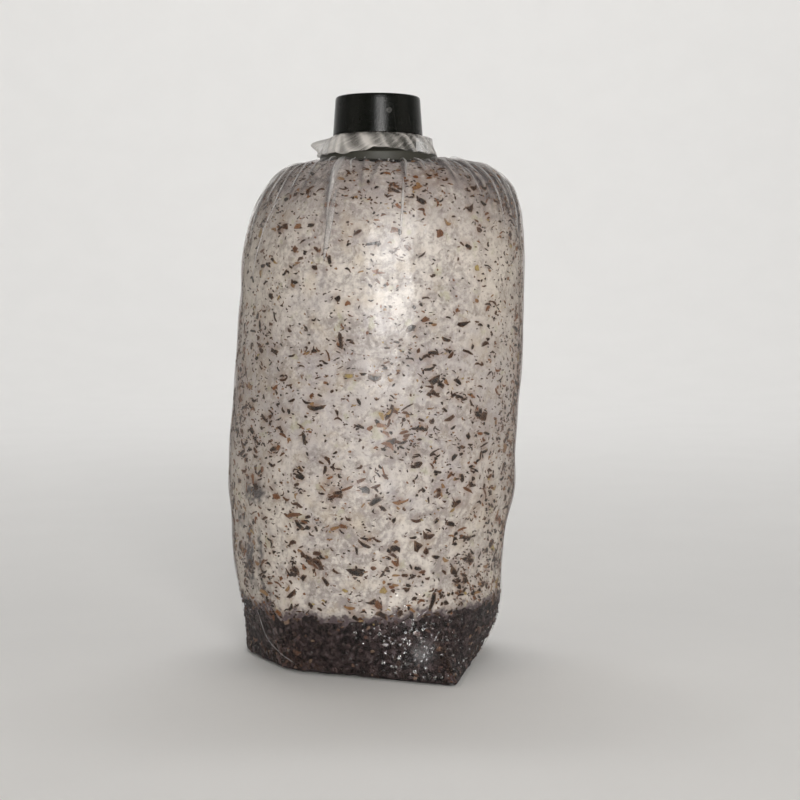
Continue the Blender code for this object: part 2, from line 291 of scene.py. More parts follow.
# levels of the rings that climb the wall and close in over the shoulder, steps in millimetres
def levelRows(lowest, wallStep, shoulderStep):
    wallRows = np.linspace(lowest, 1, int((1 - lowest) * bag["shoulderStart"] / wallStep), endpoint=False)
    shoulderRows = np.linspace(1, 2, int(bag["shoulderArc"] / shoulderStep))
    return np.concatenate([wallRows, shoulderRows])[:, None]


# a mesh of quads on rows of rings. poles close the first and last ring to a point, looped joins the last
# row back to the first; facts are per-point values that the materials read
def gridMesh(name, grid, material, poles=(True, True), looped=False, facts=None):
    rows, count = grid.shape[:2]
    index = np.arange(rows * count).reshape(rows, count)
    if looped:
        index = np.vstack([index, index[:1]])
    beside = np.roll(index, -1, axis=1)
    faces = np.stack([index[:-1], beside[:-1], beside[1:], index[1:]], axis=-1).reshape(-1, 4).tolist()
    points = [grid.reshape(-1, 3)]
    values = {key: [value.reshape(-1)] for key, value in (facts or {}).items()}
    top = rows * count
    for wanted, row, turned in ((poles[0], 0, True), (poles[1], rows - 1, False)):
        if wanted:
            points.append(grid[row].mean(axis=0)[None])
            for key, parts in values.items():
                parts.append(parts[0][row * count:row * count + 1])
            ring, following = index[row], beside[row]
            pair = (following, ring) if turned else (ring, following)
            faces.extend(np.stack([np.full(count, top), *pair], axis=-1).tolist())
            top += 1
    return newPiece(name, np.concatenate(points), faces, material,
                    {key: np.concatenate(parts) for key, parts in values.items()})


def newPiece(name, points, faces, material, facts=None):
    mesh = bpy.data.meshes.new(name)
    mesh.from_pydata((points * mm).tolist(), [], faces)
    for key, value in (facts or {}).items():
        store = mesh.attributes.new(key, "FLOAT", "POINT").data
        store.foreach_set("value", np.ascontiguousarray(value, np.float32))
    mesh.materials.append(material)
    mesh.shade_smooth()
    piece = bpy.data.objects.new(name, mesh)
    bpy.context.scene.collection.objects.link(piece)
    return piece


def wear(piece, slotName, *nodes):  # rides on the body and stands for CAD nodes
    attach(piece, "root")
    if nodes:
        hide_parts(*nodes)
    return piece


def addNode(tree, kind, inputs=None, **settings):
    node = tree.nodes.new("ShaderNode" + kind)
    for name, value in settings.items():
        setattr(node, name, value)
    for name, value in (inputs or {}).items():
        plug(tree, value, node.inputs[name])
    return node


def plug(tree, value, socket):  # a socket is linked, anything else is set
    if isinstance(value, bpy.types.NodeSocket):
        tree.links.new(value, socket)
    elif socket.type == "RGBA":
        socket.default_value = (*value[:3], 1.0)
    else:
        socket.default_value = value


def maths(tree, operation, a, b=0.0):
    return addNode(tree, "Math", {0: a, 1: b}, operation=operation).outputs[0]


def times(tree, a, b):
    return maths(tree, "MULTIPLY", a, b)


def plus(tree, a, b):
    return maths(tree, "ADD", a, b)


def swing(tree, value, middle, amount):  # how far a value is from a middle, times an amount
    return times(tree, maths(tree, "SUBTRACT", value, middle), amount)


# a value that goes from low to high becomes one that eases from outLow to outHigh
def spread(tree, value, low, high, outLow=0.0, outHigh=1.0):
    node = addNode(tree, "MapRange", {0: value, 1: low, 2: high, 3: outLow, 4: outHigh},
                   interpolation_type="SMOOTHSTEP")
    return node.outputs[0]


def mixColour(tree, share, a, b, blend="MIX"):
    node = tree.nodes.new("ShaderNodeMix")
    node.data_type, node.blend_type = "RGBA", blend
    plug(tree, share, node.inputs[0])
    plug(tree, a, node.inputs[6])
    plug(tree, b, node.inputs[7])
    return node.outputs[2]


def noise(tree, place, size, detail=2.0, roughness=0.5, distortion=0.0):  # size in millimetres
    node = addNode(tree, "TexNoise", {"Vector": place, "Scale": 1000.0 / size, "Detail": detail,
                                      "Roughness": roughness, "Distortion": distortion})
    return node.outputs[0]


def moved(tree, place, shift=(0, 0, 0), stretch=(1, 1, 1)):
    return addNode(tree, "Mapping", {"Vector": place, "Location": shift, "Scale": stretch}).outputs[0]


def ramp(tree, value, stops):
    node = addNode(tree, "ValToRGB", {0: value})
    while len(node.color_ramp.elements) < len(stops):
        node.color_ramp.elements.new(1.0)
    for element, (position, colour) in zip(node.color_ramp.elements, stops):
        element.position = position
        element.color = (*colour, 1.0)
    return node.outputs[0]


def attribute(tree, name):
    return addNode(tree, "Attribute", attribute_name=name).outputs["Fac"]


def newGroup(name, inputs, outputs):
    group = bpy.data.node_groups.new(name, "ShaderNodeTree")
    for label, kind, value in inputs:
        socket = group.interface.new_socket(label, in_out="INPUT", socket_type="NodeSocket" + kind)
        if value is not None:
            socket.default_value = value
    for label, kind in outputs:
        group.interface.new_socket(label, in_out="OUTPUT", socket_type="NodeSocket" + kind)
    return group, group.nodes.new("NodeGroupInput").outputs, group.nodes.new("NodeGroupOutput").inputs


def useGroup(tree, group, **inputs):
    node = tree.nodes.new("ShaderNodeGroup")
    node.node_tree = group
    for name, value in inputs.items():
        plug(tree, value, node.inputs[name])
    return node.outputs


def newMaterial(name, **constants):
    material = bpy.data.materials.new(name)
    material.use_nodes = True
    tree = material.node_tree
    shader = tree.nodes["Principled BSDF"]
    for label, value in constants.items():
        plug(tree, value, shader.inputs[label.replace("_", " ")])
    place = addNode(tree, "TexCoord").outputs["Object"]
    return material, tree, shader, place


def bump(tree, height, distance):  # distance in millimetres
    return addNode(tree, "Bump", {"Height": height, "Distance": distance * mm}).outputs[0]


def dress(tree, shader, colour, height, distance):
    plug(tree, colour, shader.inputs["Base Color"])
    plug(tree, bump(tree, height, distance), shader.inputs["Normal"])


def mixShader(tree, share, a, b):
    return addNode(tree, "MixShader", {0: share, 1: a.outputs[0], 2: b.outputs[0]})


# cloudy growth at three sizes, each 0 to 1, for whatever mycelium grows on
def mottleGroup():
    group, given, result = newGroup("mottle", [("Vector", "Vector", None)],
                                    [("Broad", "Float"), ("Patch", "Float"), ("Grain", "Float")])
    for label, *settings in (("Broad", 26, 3.0, 0.55, 0.3), ("Patch", 7.0, 4.0, 0.6, 0.8),
                             ("Grain", 1.7, 3.0, 0.6, 0.2)):
        plug(group, noise(group, given["Vector"], *settings), result[label])
    return group


# fine crinkles and streaks of film that run away from the neck, and follow a lean
def crinkleGroup():
    group, given, result = newGroup("crinkle", [("Vector", "Vector", None), ("Lean", "Float", 0.0)],
                                    [("Streak", "Float"), ("Height", "Float")])
    parts = addNode(group, "SeparateXYZ", {0: given["Vector"]}).outputs
    flat = addNode(group, "CombineXYZ", {0: parts[0], 1: parts[1], 2: 0.0}).outputs[0]
    ray = addNode(group, "VectorMath", {0: flat}, operation="NORMALIZE").outputs[0]
    turn = {"Vector": ray, "Angle": times(group, parts[2], given["Lean"])}
    turned = addNode(group, "VectorRotate", turn, rotation_type="Z_AXIS").outputs[0]
    lift = addNode(group, "CombineXYZ", {2: times(group, parts[2], 14.0)}).outputs[0]
    ribbon = addNode(group, "VectorMath", {0: turned, 1: lift}, operation="ADD").outputs[0]
    coarse = addNode(group, "TexNoise", {"Vector": ribbon, "Scale": 5.5, "Detail": 3.0}).outputs[0]
    fine = addNode(group, "TexNoise", {"Vector": ribbon, "Scale": 34.0, "Detail": 2.0}).outputs[0]
    streak = plus(group, times(group, coarse, 0.6), times(group, fine, 0.4))
    plug(group, streak, result["Streak"])
    small = noise(group, given["Vector"], 4.0, 3.0, 0.55, 0.6)
    plug(group, plus(group, streak, times(group, small, 0.5)), result["Height"])
    return group


# scuffs and the fine pebble of moulded plastic
def mouldedGroup():
    group, given, result = newGroup("moulded", [("Vector", "Vector", None), ("Colour", "Color", None),
                                                ("Worn", "Color", None), ("Roughness", "Float", 0.4)],
                                    [("Colour", "Color"), ("Roughness", "Float"), ("Height", "Float")])
    place = given["Vector"]
    cloud = noise(group, place, 9.0, 4.0, 0.6)
    scuff = noise(group, moved(group, place, stretch=(1, 1, 0.12)), 1.3, 3.0, 0.65, 0.5)
    dust = spread(group, noise(group, place, 0.8, 2.0), 0.60, 0.74)
    worn = times(group, spread(group, scuff, 0.52, 0.72), spread(group, cloud, 0.40, 0.66))
    worn = maths(group, "MAXIMUM", times(group, worn, 0.55), times(group, dust, 0.25))
    plug(group, mixColour(group, worn, given["Colour"], given["Worn"]), result["Colour"])
    rough = plus(group, given["Roughness"], swing(group, cloud, 0.5, 0.3))
    plug(group, plus(group, rough, times(group, worn, 0.2)), result["Roughness"])
    pebble = noise(group, place, 0.45, 2.0)
    plug(group, plus(group, times(group, pebble, 0.5), scuff), result["Height"])
    return group


mottle, crinkle, moulded = mottleGroup(), crinkleGroup(), mouldedGroup()

growth = dict(
    dense=(0.64, 0.592, 0.542), thin=(0.300, 0.263, 0.245), lilac=(0.33, 0.30, 0.32),
    beige=(0.50, 0.42, 0.32), green=(0.40, 0.39, 0.24), speck=(0.085, 0.050, 0.034),
    # the last two colours below are painted shade: beside folds and under the collar, and over the shoulders
    shaded=(0.085, 0.062, 0.066), stain=(0.20, 0.115, 0.070), paintedShade=(0.045, 0.036, 0.040),
    shoulderShade=(0.245, 0.205, 0.195),
)


# felted white growth: dense and thin clouds, tinted and marked in layers, with painted shade beside folds,
# under the collar and over the shoulders; the last a purplish thinning towards the sawdust
def myceliumMaterial():
    material, tree, shader, place = newMaterial("myceliumSkin", Roughness=0.82, Specular_IOR_Level=0.35)
    clouds = useGroup(tree, mottle, Vector=place)
    patch, broad, grain = clouds["Patch"], clouds["Broad"], clouds["Grain"]
    parts = addNode(tree, "SeparateXYZ", {0: place}).outputs
    height = parts[2]

    def patches(shift, size, detail, low, high, most, distortion=0.0):
        cloud = noise(tree, moved(tree, place, shift), size, detail, 0.5, distortion)
        return spread(tree, cloud, low, high, 0.0, most)

    share = plus(tree, times(tree, patch, 0.42), times(tree, broad, 0.20))
    share = plus(tree, share, times(tree, grain, 0.38))
    colour = mixColour(tree, spread(tree, share, 0.40, 0.58), growth["thin"], growth["dense"])
    flank = spread(tree, maths(tree, "ABSOLUTE", parts[0]), 0.022, 0.054, 0.0, 0.34)
    waist = times(tree, spread(tree, height, 0.060, 0.105), spread(tree, height, 0.152, 0.118))
    # painted shade: the shoulders go darker towards the top, in patches
    shoulderShadeMask = times(tree, spread(tree, height, 0.160, 0.196), spread(tree, patch, 0.38, 0.58, 0.15, 0.85))
    cells = addNode(tree, "TexVoronoi", {"Vector": place, "Scale": 1000.0 / 2.1}).outputs
    chosen = addNode(tree, "SeparateColor", {0: cells["Color"]}).outputs[0]
    chosen = maths(tree, "GREATER_THAN", chosen, 0.80)
    spots = times(tree, spread(tree, cells["Distance"], 0.20, 0.12), chosen)
    stained = times(tree, attribute(tree, "stain"), spread(tree, grain, 0.35, 0.65, 0.3, 1.0))
    rough = plus(tree, grain, times(tree, patch, 1.3))
    ragged = plus(tree, attribute(tree, "fringe"), swing(tree, rough, 1.15, 1.1))
    for tint, amount in (("lilac", patches((0.3, 0.1, 0), 15, 3.0, 0.50, 0.72, 0.40)),
                         ("beige", patches((0.7, 0.2, 0), 10, 4.0, 0.52, 0.72, 0.5)),
                         ("beige", flank),
                         ("lilac", times(tree, waist, spread(tree, patch, 0.38, 0.60, 0.0, 0.45))),
                         # painted shade over the shoulders
                         ("shoulderShade", shoulderShadeMask),
                         ("green", patches((0.1, 0.9, 0), 6, 2.0, 0.62, 0.74, 0.45)),
                         ("speck", patches((0.5, 0.5, 0), 3.2, 2.0, 0.62, 0.70, 0.35, 1.2)),
                         ("speck", times(tree, spots, 0.75)),
                         ("stain", maths(tree, "MINIMUM", stained, 0.75)),
                         # painted shade beside folds, under the collar's flange and at the listed dark marks
                         ("paintedShade", times(tree, attribute(tree, "paintedShade"), 0.92)),
                         ("shaded", spread(tree, ragged, 0.42, 1.0))):
        colour = mixColour(tree, amount, colour, growth[tint])
    dress(tree, shader, colour, plus(tree, noise(tree, place, 0.7, 2.0), grain), 0.16)
    return material


# dark moist sawdust between the chips
def sawdustMaterial():
    material, tree, shader, place = newMaterial("bareSawdust", Roughness=0.8, Specular_IOR_Level=0.15)
    clouds = useGroup(tree, mottle, Vector=place)
    tone = plus(tree, times(tree, clouds["Grain"], 0.7), times(tree, clouds["Patch"], 0.3))
    colour = ramp(tree, tone, ((0.36, (0.003, 0.002, 0.002)), (0.46, (0.012, 0.008, 0.008)),
                               (0.56, (0.040, 0.027, 0.026)), (0.68, (0.095, 0.072, 0.076))))
    dress(tree, shader, colour, clouds["Grain"], 0.5)
    return material


# wood chips: tone picks the wood, veil and rim say how far growth has crept over it
def chipMaterial(name, stops, veilColour, roughness, fringeShare):
    material, tree, shader, place = newMaterial(name, Roughness=roughness, Specular_IOR_Level=0.18)
    cloud = useGroup(tree, mottle, Vector=place)["Grain"]
    wood = ramp(tree, attribute(tree, "tone"), stops)
    grain = noise(tree, moved(tree, place, stretch=(1.0, 1.0, 0.3)), 0.8, 3.0, 0.6, 0.4)
    wood = mixColour(tree, spread(tree, grain, 0.35, 0.70, 0.0, 0.55), wood, (0.4, 0.4, 0.4), "MULTIPLY")
    outer = maths(tree, "POWER", attribute(tree, "rim"), 3.0)
    edge = times(tree, outer, spread(tree, cloud, 0.35, 0.65, 0.1, fringeShare))
    wood = mixColour(tree, edge, wood, growth["stain"])
    creep = plus(tree, attribute(tree, "veil"), times(tree, outer, 0.45))
    creep = plus(tree, creep, swing(tree, cloud, 0.5, 0.9))
    wood = mixColour(tree, spread(tree, creep, 0.30, 0.85, 0.0, 0.92), wood, veilColour)
    dress(tree, shader, wood, grain, 0.12)
    return material


# clear film: a Fresnel gloss over a see-through body with a faint milky haze, darker where it is seen on
# edge. only faces seen from their front count, so the two walls look like one
def filmMaterial(name, haze, streakHaze, foldHaze, baseShare, tint, gloss, lean, crinkleDepth):
    material, tree, shader, place = newMaterial(name)
    tree.nodes.remove(shader)
    lines = useGroup(tree, crinkle, Vector=place, Lean=lean)
    normal = bump(tree, lines["Height"], crinkleDepth)
    milk = addNode(tree, "BsdfPrincipled", {"Base Color": tint, "Roughness": 0.45, "Normal": normal})
    streak = spread(tree, lines["Streak"], 0.46, 0.68, haze, streakHaze)
    height = addNode(tree, "SeparateXYZ", {0: place}).outputs[2]
    streak = times(tree, streak, spread(tree, height, 0.018, 0.050, baseShare, 1.0))
    folded = times(tree, attribute(tree, "fold"), foldHaze)
    cloudy = addNode(tree, "Math", {0: streak, 1: folded}, use_clamp=True).outputs[0]
    facing = addNode(tree, "LayerWeight", {"Blend": 0.5}).outputs["Facing"]
    onEdge = times(tree, spread(tree, facing, 0.70, 0.97), spread(tree, height, 0.018, 0.050))
    passing = mixColour(tree, onEdge, white, (0.54, 0.50, 0.485))
    clear = addNode(tree, "BsdfTransparent", {"Color": passing})
    body = mixShader(tree, cloudy, clear, milk)
    shine = addNode(tree, "BsdfAnisotropic", {"Color": white, "Roughness": gloss, "Normal": normal})
    rim = addNode(tree, "Fresnel", {"IOR": 1.38, "Normal": normal}).outputs[0]
    rim = times(tree, maths(tree, "MINIMUM", rim, 0.09), spread(tree, height, 0.012, 0.045, 0.3, 1.0))
    outer = mixShader(tree, rim, body, shine)
    inside = addNode(tree, "NewGeometry").outputs["Backfacing"]
    through = addNode(tree, "BsdfTransparent", {"Color": white})
    final = mixShader(tree, inside, outer, through)
    plug(tree, final.outputs[0], tree.nodes["Material Output"].inputs["Surface"])
    return material


def plasticMaterial(name, colour, worn, roughness, specular):
    material, tree, shader, place = newMaterial(name, Specular_IOR_Level=specular)
    skin = useGroup(tree, moulded, Vector=place, Colour=colour, Worn=worn, Roughness=roughness)
    dress(tree, shader, skin["Colour"], skin["Height"], 0.05)
    plug(tree, skin["Roughness"], shader.inputs["Roughness"])
    return material


def cottonMaterial():
    material, tree, shader, place = newMaterial("cottonWool", Roughness=0.95)
    wisps = noise(tree, moved(tree, place, stretch=(1, 1, 0.4)), 1.6, 5.0, 0.65, 1.5)
    colour = ramp(tree, wisps, ((0.3, (0.62, 0.59, 0.53)), (0.6, (0.84, 0.82, 0.78))))
    dress(tree, shader, colour, wisps, 0.4)
    return material


def dropMaterial():
    water = dict(Base_Color=white, Roughness=0.02, IOR=1.33, Transmission_Weight=1.0)
    return newMaterial("dew", **water)[0]


block = dict(
    columns=344, step=1.06, lowest=15.0,
    # marks in the growth, painted shade or brown stains: kind, azimuth, height, size across and along,
    # strength
    marks=(("paintedShade", -142, 71, 5.6, 3.0, 2.4), ("paintedShade", -147, 45, 2.6, 12, 1.8),
           ("paintedShade", -139, 46, 1.8, 9, 1.1), ("paintedShade", -155, 60, 3, 5, 0.7),
           ("paintedShade", -137, 32, 6, 5, 0.6), ("paintedShade", -18, 40, 3, 6, 0.5), ("paintedShade", -12, 66, 3, 8, 0.4),
           ("paintedShade", 60, 70, 5, 3, 0.8), ("paintedShade", 120, 110, 4, 8, 0.6),
           ("paintedShade", -32, 188, 22, 10, 0.50), ("paintedShade", -14, 176, 12, 14, 0.34),
           ("paintedShade", -150, 190, 22, 8, 0.34), ("paintedShade", -168, 180, 14, 10, 0.28),
           ("paintedShade", -122, 192, 9, 5, 0.32), ("paintedShade", 40, 186, 30, 9, 0.28),
           ("paintedShade", 100, 188, 30, 9, 0.32), ("stain", -16, 120, 5, 26, 0.8),
           ("stain", -12, 62, 5, 18, 0.5), ("stain", -160, 112, 8, 14, 0.5),
           ("stain", -104, 76, 12, 4, 0.4), ("stain", -66, 193, 7, 3, 0.8), ("stain", -46, 66, 6, 5, 0.5),
           ("stain", 70, 100, 12, 16, 0.5), ("stain", 150, 60, 10, 12, 0.5)),
)


# how much wood lies near each point of the skin: flake areas dropped on its grid, then spread by a small blur
def stainMap(theta, level, flakes):
    rows, columns = len(level), theta.size
    amount = np.zeros((rows, columns))
    row = np.round(np.interp(flakes["level"], level[:, 0], np.arange(rows))).astype(int)
    column = np.round(flakes["theta"] / (2 * np.pi) * columns).astype(int) % columns
    np.add.at(amount, (row, column), flakes["area"])
    for _ in range(2):
        amount = 0.5 * amount + 0.25 * (np.roll(amount, 1, 1) + np.roll(amount, -1, 1))
        padded = np.pad(amount, ((1, 1), (0, 0)), mode="edge")
        amount = 0.5 * amount + 0.25 * (padded[:-2] + padded[2:])
    return 1 - np.exp(-amount * 1.1)


def makeBlock(material, flakes):
    theta = turns(block["columns"])
    level = levelRows(block["lowest"] / bag["shoulderStart"], block["step"], block["step"])
    grid, _ = blockSurface(theta[None], level)
    step = 0.012    # painted shade: a fold's dark flank lies on the side where it climbs
    paintedShade = pleatHeights(theta[None] + step, level) - pleatHeights(theta[None] - step, level)
    # painted shade also under the collar's flange, over the top of the shoulder
    paintedShade = np.clip(paintedShade * 2.5, 0, 0.85) + 0.5 * smoothStep(level, 1.84, 1.97)
    facts = {"fringe": smoothStep(fringeHeight(grid, theta[None]) + 7.0 - grid[..., 2], 0.0, 8.0),
             "stain": stainMap(theta, level, flakes), "paintedShade": paintedShade}
    ragged = np.clip(0.9 + 1.1 * waveNoise(grid, 2.6, 71), 0, 2.0)
    for kind, azimuth, middle, across, along, strength in block["marks"]:
        away = (turnGap(theta[None], azimuth) * bag["girth"] / across) ** 2
        away = away + ((grid[..., 2] - middle) / along) ** 2
        facts[kind] = np.clip(facts[kind] + strength * ragged * np.exp(-away), 0, 1)
    grid = np.concatenate([drawnIn(grid[0], 0.3, 0.7), grid, drawnIn(grid[-1], 0.8, 0.5, 0.2)])
    facts = {name: np.pad(value, ((2, 3), (0, 0)), mode="edge") for name, value in facts.items()}
    piece = gridMesh("myceliumBlock", grid, material, facts=facts)
    return wear(piece, "mycelium", "mycelium_block")


base = dict(columns=344, step=1.0, lowest=1.0, highest=34.0)


def makeBase(material):
    theta = turns(base["columns"])
    heights = np.arange(base["lowest"], base["highest"], base["step"])
    level = (heights / bag["shoulderStart"])[:, None]
    grid, _ = sawdustSurface(theta[None], level)
    grid = np.concatenate([drawnIn(grid[0], 0.25, 0.6, 0.9), grid, drawnIn(grid[-1], 0.7, 0.3)])
    return wear(gridMesh("sawdustBase", grid, material), "wet_sawdust", "sawdust_base")


def tangents(normal):  # level and upward directions that lie in a surface
    side = unit(np.cross([0.0, 0.0, 1.0], normal))
    return side, np.cross(normal, side)


# flat flakes as one mesh: each is a crooked outline, a raised top with a middle point, and a flat underside
def flakeMesh(name, material, centre, normal, length, width, thickness, spin, tilt, tone, veil, rng, corners):
    count = len(centre)
    side, upward = tangents(normal)
    cs, sn = np.cos(spin)[:, None], np.sin(spin)[:, None]
    along, across = cs * side + sn * upward, cs * upward - sn * side
    along, normal = (along * np.cos(tilt)[:, None] + normal * np.sin(tilt)[:, None],
                     normal * np.cos(tilt)[:, None] - along * np.sin(tilt)[:, None])
    angle = turns(corners, rng.uniform(-0.32, 0.32, (count, corners)))
    lobes = rng.uniform(0, 2 * np.pi, (2, count, 1))
    wobble = 0.88 + 0.16 * np.sin(2 * angle + lobes[0]) + 0.10 * np.sin(3 * angle + lobes[1])
    wobble = wobble + rng.uniform(-0.10, 0.10, (count, corners))
    x = np.sign(np.cos(angle)) * np.abs(np.cos(angle)) ** 0.7 * wobble * length[:, None] / 2
    y = np.sign(np.sin(angle)) * np.abs(np.sin(angle)) ** 0.8 * wobble * width[:, None] / 2
    bend = rng.normal(0, 0.17, (count, 1)) * np.minimum(length, 5)[:, None]
    y = y + bend * ((2 * x / length[:, None]) ** 2 - 0.4)    # long ones curl a little

    def ring(inset, lift):
        flat = along[:, None] * (x * inset)[..., None] + across[:, None] * (y * inset)[..., None]
        return centre[:, None] + flat + normal[:, None] * np.reshape(lift, (-1, 1, 1))

    middle = (centre + across * (bend * -0.4) + normal * (thickness * 0.55)[:, None])[:, None]
    points = np.concatenate([middle, ring(0.86, thickness * 0.5), ring(1.0, -thickness * 0.5)], axis=1)
    size = 2 * corners + 1
    start = np.arange(count)[:, None, None] * size
    i = np.arange(corners)
    j = (i + 1) % corners
    fan = start + np.stack([np.zeros(corners, int), 1 + i, 1 + j], axis=-1)
    wall = start + np.stack([1 + i, 1 + corners + i, 1 + corners + j, 1 + j], axis=-1)
    under = start[:, 0] + 1 + corners + i[::-1]
    faces = fan.reshape(-1, 3).tolist() + wall.reshape(-1, 4).tolist() + under.tolist()
    rim = np.concatenate([[0.0], np.ones(2 * corners)])
    facts = {"tone": np.repeat(tone, size), "veil": np.repeat(veil, size), "rim": np.tile(rim, count)}
    piece = newPiece(name, points.reshape(-1, 3), faces, material, facts)
    piece.data.set_sharp_from_angle(angle=math.radians(35))
    return piece


# random places on the bag, even in area, each kept with a chance that is worked out from where it is
def scatter(tries, rng, levels, chance):
    theta = rng.uniform(0, 2 * np.pi, tries)
    level = rng.uniform(*levels, tries)
    points = bagForm(theta, level, bag["sawdustSharpness"])
    step = 1e-3
    stretch = np.linalg.norm(np.cross(bagForm(theta + step, level, 15) - points,
                                      bagForm(theta, level + step, 15) - points), axis=1)
    keep = rng.uniform(0, 1, tries) < chance(points, theta) * stretch / stretch.max()
    return theta[keep], level[keep]


chips = dict(
    # areas in square millimetres; slivers are longer than slender times their width
    tries=27000, seed=5, medianArea=1.18, areaSpread=0.90, maxArea=14.0, slender=2.4,
    # chips that stand out: azimuth, height, length, width, turn from level in degrees, tone
    landmarks=((-57, 137, 6.4, 2.0, 14, 0.1), (-51, 158, 2.6, 2.4, 0, 0.99), (-67, 171, 3.4, 3.0, 0, 0.70),
               (-114, 47.5, 5.6, 3.8, -14, 0.35), (-109.5, 46, 5.2, 3.4, -20, 0.42),
               (-94, 43, 7.0, 2.8, -6, 0.05), (-120, 43, 6.0, 2.2, -50, 0.12),
               (-83, 92.5, 5.4, 3.0, 20, 0.25), (-145, 94, 6.0, 2.6, -40, 0.02),
               (-91, 98, 3.6, 1.7, 20, 0.80), (-87, 99, 4.4, 1.6, 4, 0.84), (-85, 96, 3.8, 1.5, -25, 0.76),
               (-69, 52, 5.2, 4.0, -10, 0.38), (-66, 50, 3.4, 2.4, -50, 0.45), (-79, 52, 3.4, 2.4, 10, 0.1),
               (-43, 101, 4.6, 3.8, 0, 0.48), (-68, 115.6, 5.4, 3.0, 12, 0.1),
               (-70, 126, 5.8, 1.9, 4, 0.15), (-64, 131, 4.2, 1.7, -15, 0.2),
               (-54, 126, 5.0, 1.5, -20, 0.3), (-110, 161, 2.0, 3.6, 10, 0.08),
               (-85, 172, 3.0, 2.6, 0, 0.72), (-85, 190, 2.4, 1.0, 35, 0.62),
               (-79, 192.5, 2.2, 1.2, 20, 0.78), (-74, 193, 2.6, 1.5, 5, 0.80),
               (-68, 192.5, 2.2, 1.3, -5, 0.74), (-64, 194, 2.4, 1.4, 18, 0.66),
               (-60, 192, 2.0, 1.1, 30, 0.60), (-70, 190, 1.6, 0.9, 50, 0.40),
               (-63, 189.5, 1.8, 0.8, -20, 0.30), (-122, 63, 5.4, 1.5, -30, 0.6),
               (-118, 68, 5.0, 1.6, -25, 0.5), (-124, 70, 4.4, 1.3, -20, 0.68),
               (-104, 72, 5.6, 1.5, 18, 0.62), (-99, 75, 5.0, 1.4, 22, 0.72), (-94, 78, 5.4, 1.5, 20, 0.66),
               (-88, 76, 4.6, 1.3, 14, 0.58), (-72, 84, 4.4, 2.4, 30, 0.3), (-106, 39, 4.0, 2.0, -60, 0.2)),
)
chipStops = ((0.0, (0.006, 0.003, 0.0015)), (0.40, (0.026, 0.010, 0.004)), (0.62, (0.072, 0.027, 0.010)),
             (0.82, (0.20, 0.075, 0.026)), (0.95, (0.30, 0.18, 0.08)), (1.0, (0.38, 0.30, 0.10)))


# where the chips lie: more of them lower down and in loose clusters, longest axis mostly level
def placeChips():
    rng = np.random.default_rng(chips["seed"])

    def crowding(points, theta):
        height = points[:, 2]
        banded = 0.58 + 0.42 * smoothStep(150 - height, 0, 110) + 0.50 * smoothStep(height, 168, 188)
        banded = banded + 0.32 * np.exp(-((height - 108) / 22) ** 2)
        cluster = np.clip(0.66 + 0.75 * waveNoise(points, 13, 51), 0.12, 1.3)
        cluster = cluster + 0.75 * bell(theta, -17, 0.32) + 0.3 * bell(theta, -152, 0.3)
        return 0.74 * banded * cluster * (height > fringeHeight(points, theta) - 1.5)

    flakes = []
    for _ in range(2):
        theta, level = scatter(chips["tries"], rng, (0.13, 1.95), crowding)
        flakes.append(dict(theta=theta, level=level, tone=rng.uniform(0, 1, len(theta)) ** 1.5))
    large, small = flakes
    count = len(large["theta"])
    lowness = smoothStep(150 - 150 * large["level"], 0, 120)
    area = chips["medianArea"] * (1 + 0.75 * lowness) * np.exp(chips["areaSpread"] * rng.normal(size=count))
    large["area"] = np.clip(area, 0.35, chips["maxArea"])
    small["area"] = rng.uniform(0.15, 1.15, len(small["theta"]))
    for part, slim in ((large, 0.86), (small, 0.70)):
        count = len(part["theta"])
        aspect = np.clip(np.exp(rng.normal(slim, 0.40, count)), 1.05, 6.0)
        part["length"] = np.sqrt(part["area"] * aspect * 1.45)
        part["width"] = part["length"] / aspect
        part["spin"] = np.where(rng.uniform(size=count) < 0.7, rng.normal(-0.12, 0.42, count),
                                rng.uniform(0, np.pi, count))
        part["veil"] = np.clip(rng.normal(-0.16, 0.22, count), -0.5, 0.5)
    azimuth, height, length, width, spin, tone = np.array(chips["landmarks"], float).T
    azimuth = np.radians(azimuth)
    extra = dict(theta=azimuth % (2 * np.pi), level=levelAt(azimuth, height), tone=tone,
                 area=length * width * 0.7, length=length * 1.15, width=width * 1.15, spin=np.radians(spin),
                 veil=np.full(len(tone), -0.45))
    large = {key: np.concatenate([large[key], value]) for key, value in extra.items()}
    return large, small


def makeChips(material, large, small):
    rng = np.random.default_rng(chips["seed"] + 1)
    slender = large["length"] > chips["slender"] * large["width"]
    slivers, broad = ({key: value[chosen] for key, value in large.items()} for chosen in (slender, ~slender))
    kinds = (("woodChips", broad, 8), ("woodSlivers", slivers, 8), ("woodFlecks", small, 5))
    for name, part, corners in kinds:
        centre, normal = blockSurface(part["theta"], part["level"])
        tilt = rng.normal(0, 0.08, len(part["theta"]))
        thickness = np.clip(0.14 * part["length"], 0.2, 0.5)
        lift = 0.07 - 0.25 * thickness - 0.2 * np.abs(np.sin(tilt)) * part["length"] / 2
        centre = centre + normal * lift[:, None]
        piece = flakeMesh(name, material, centre, normal, part["length"], part["width"], thickness,
                          part["spin"], tilt, part["tone"], part["veil"], rng, corners)
        wear(piece, "mycelium")


darkChips = dict(tries=19500, seed=9)
darkStops = ((0.0, (0.004, 0.003, 0.003)), (0.30, (0.016, 0.010, 0.010)), (0.55, (0.046, 0.028, 0.023)),
             (0.80, (0.080, 0.060, 0.066)), (0.94, (0.100, 0.050, 0.034)), (1.0, (0.24, 0.16, 0.11)))


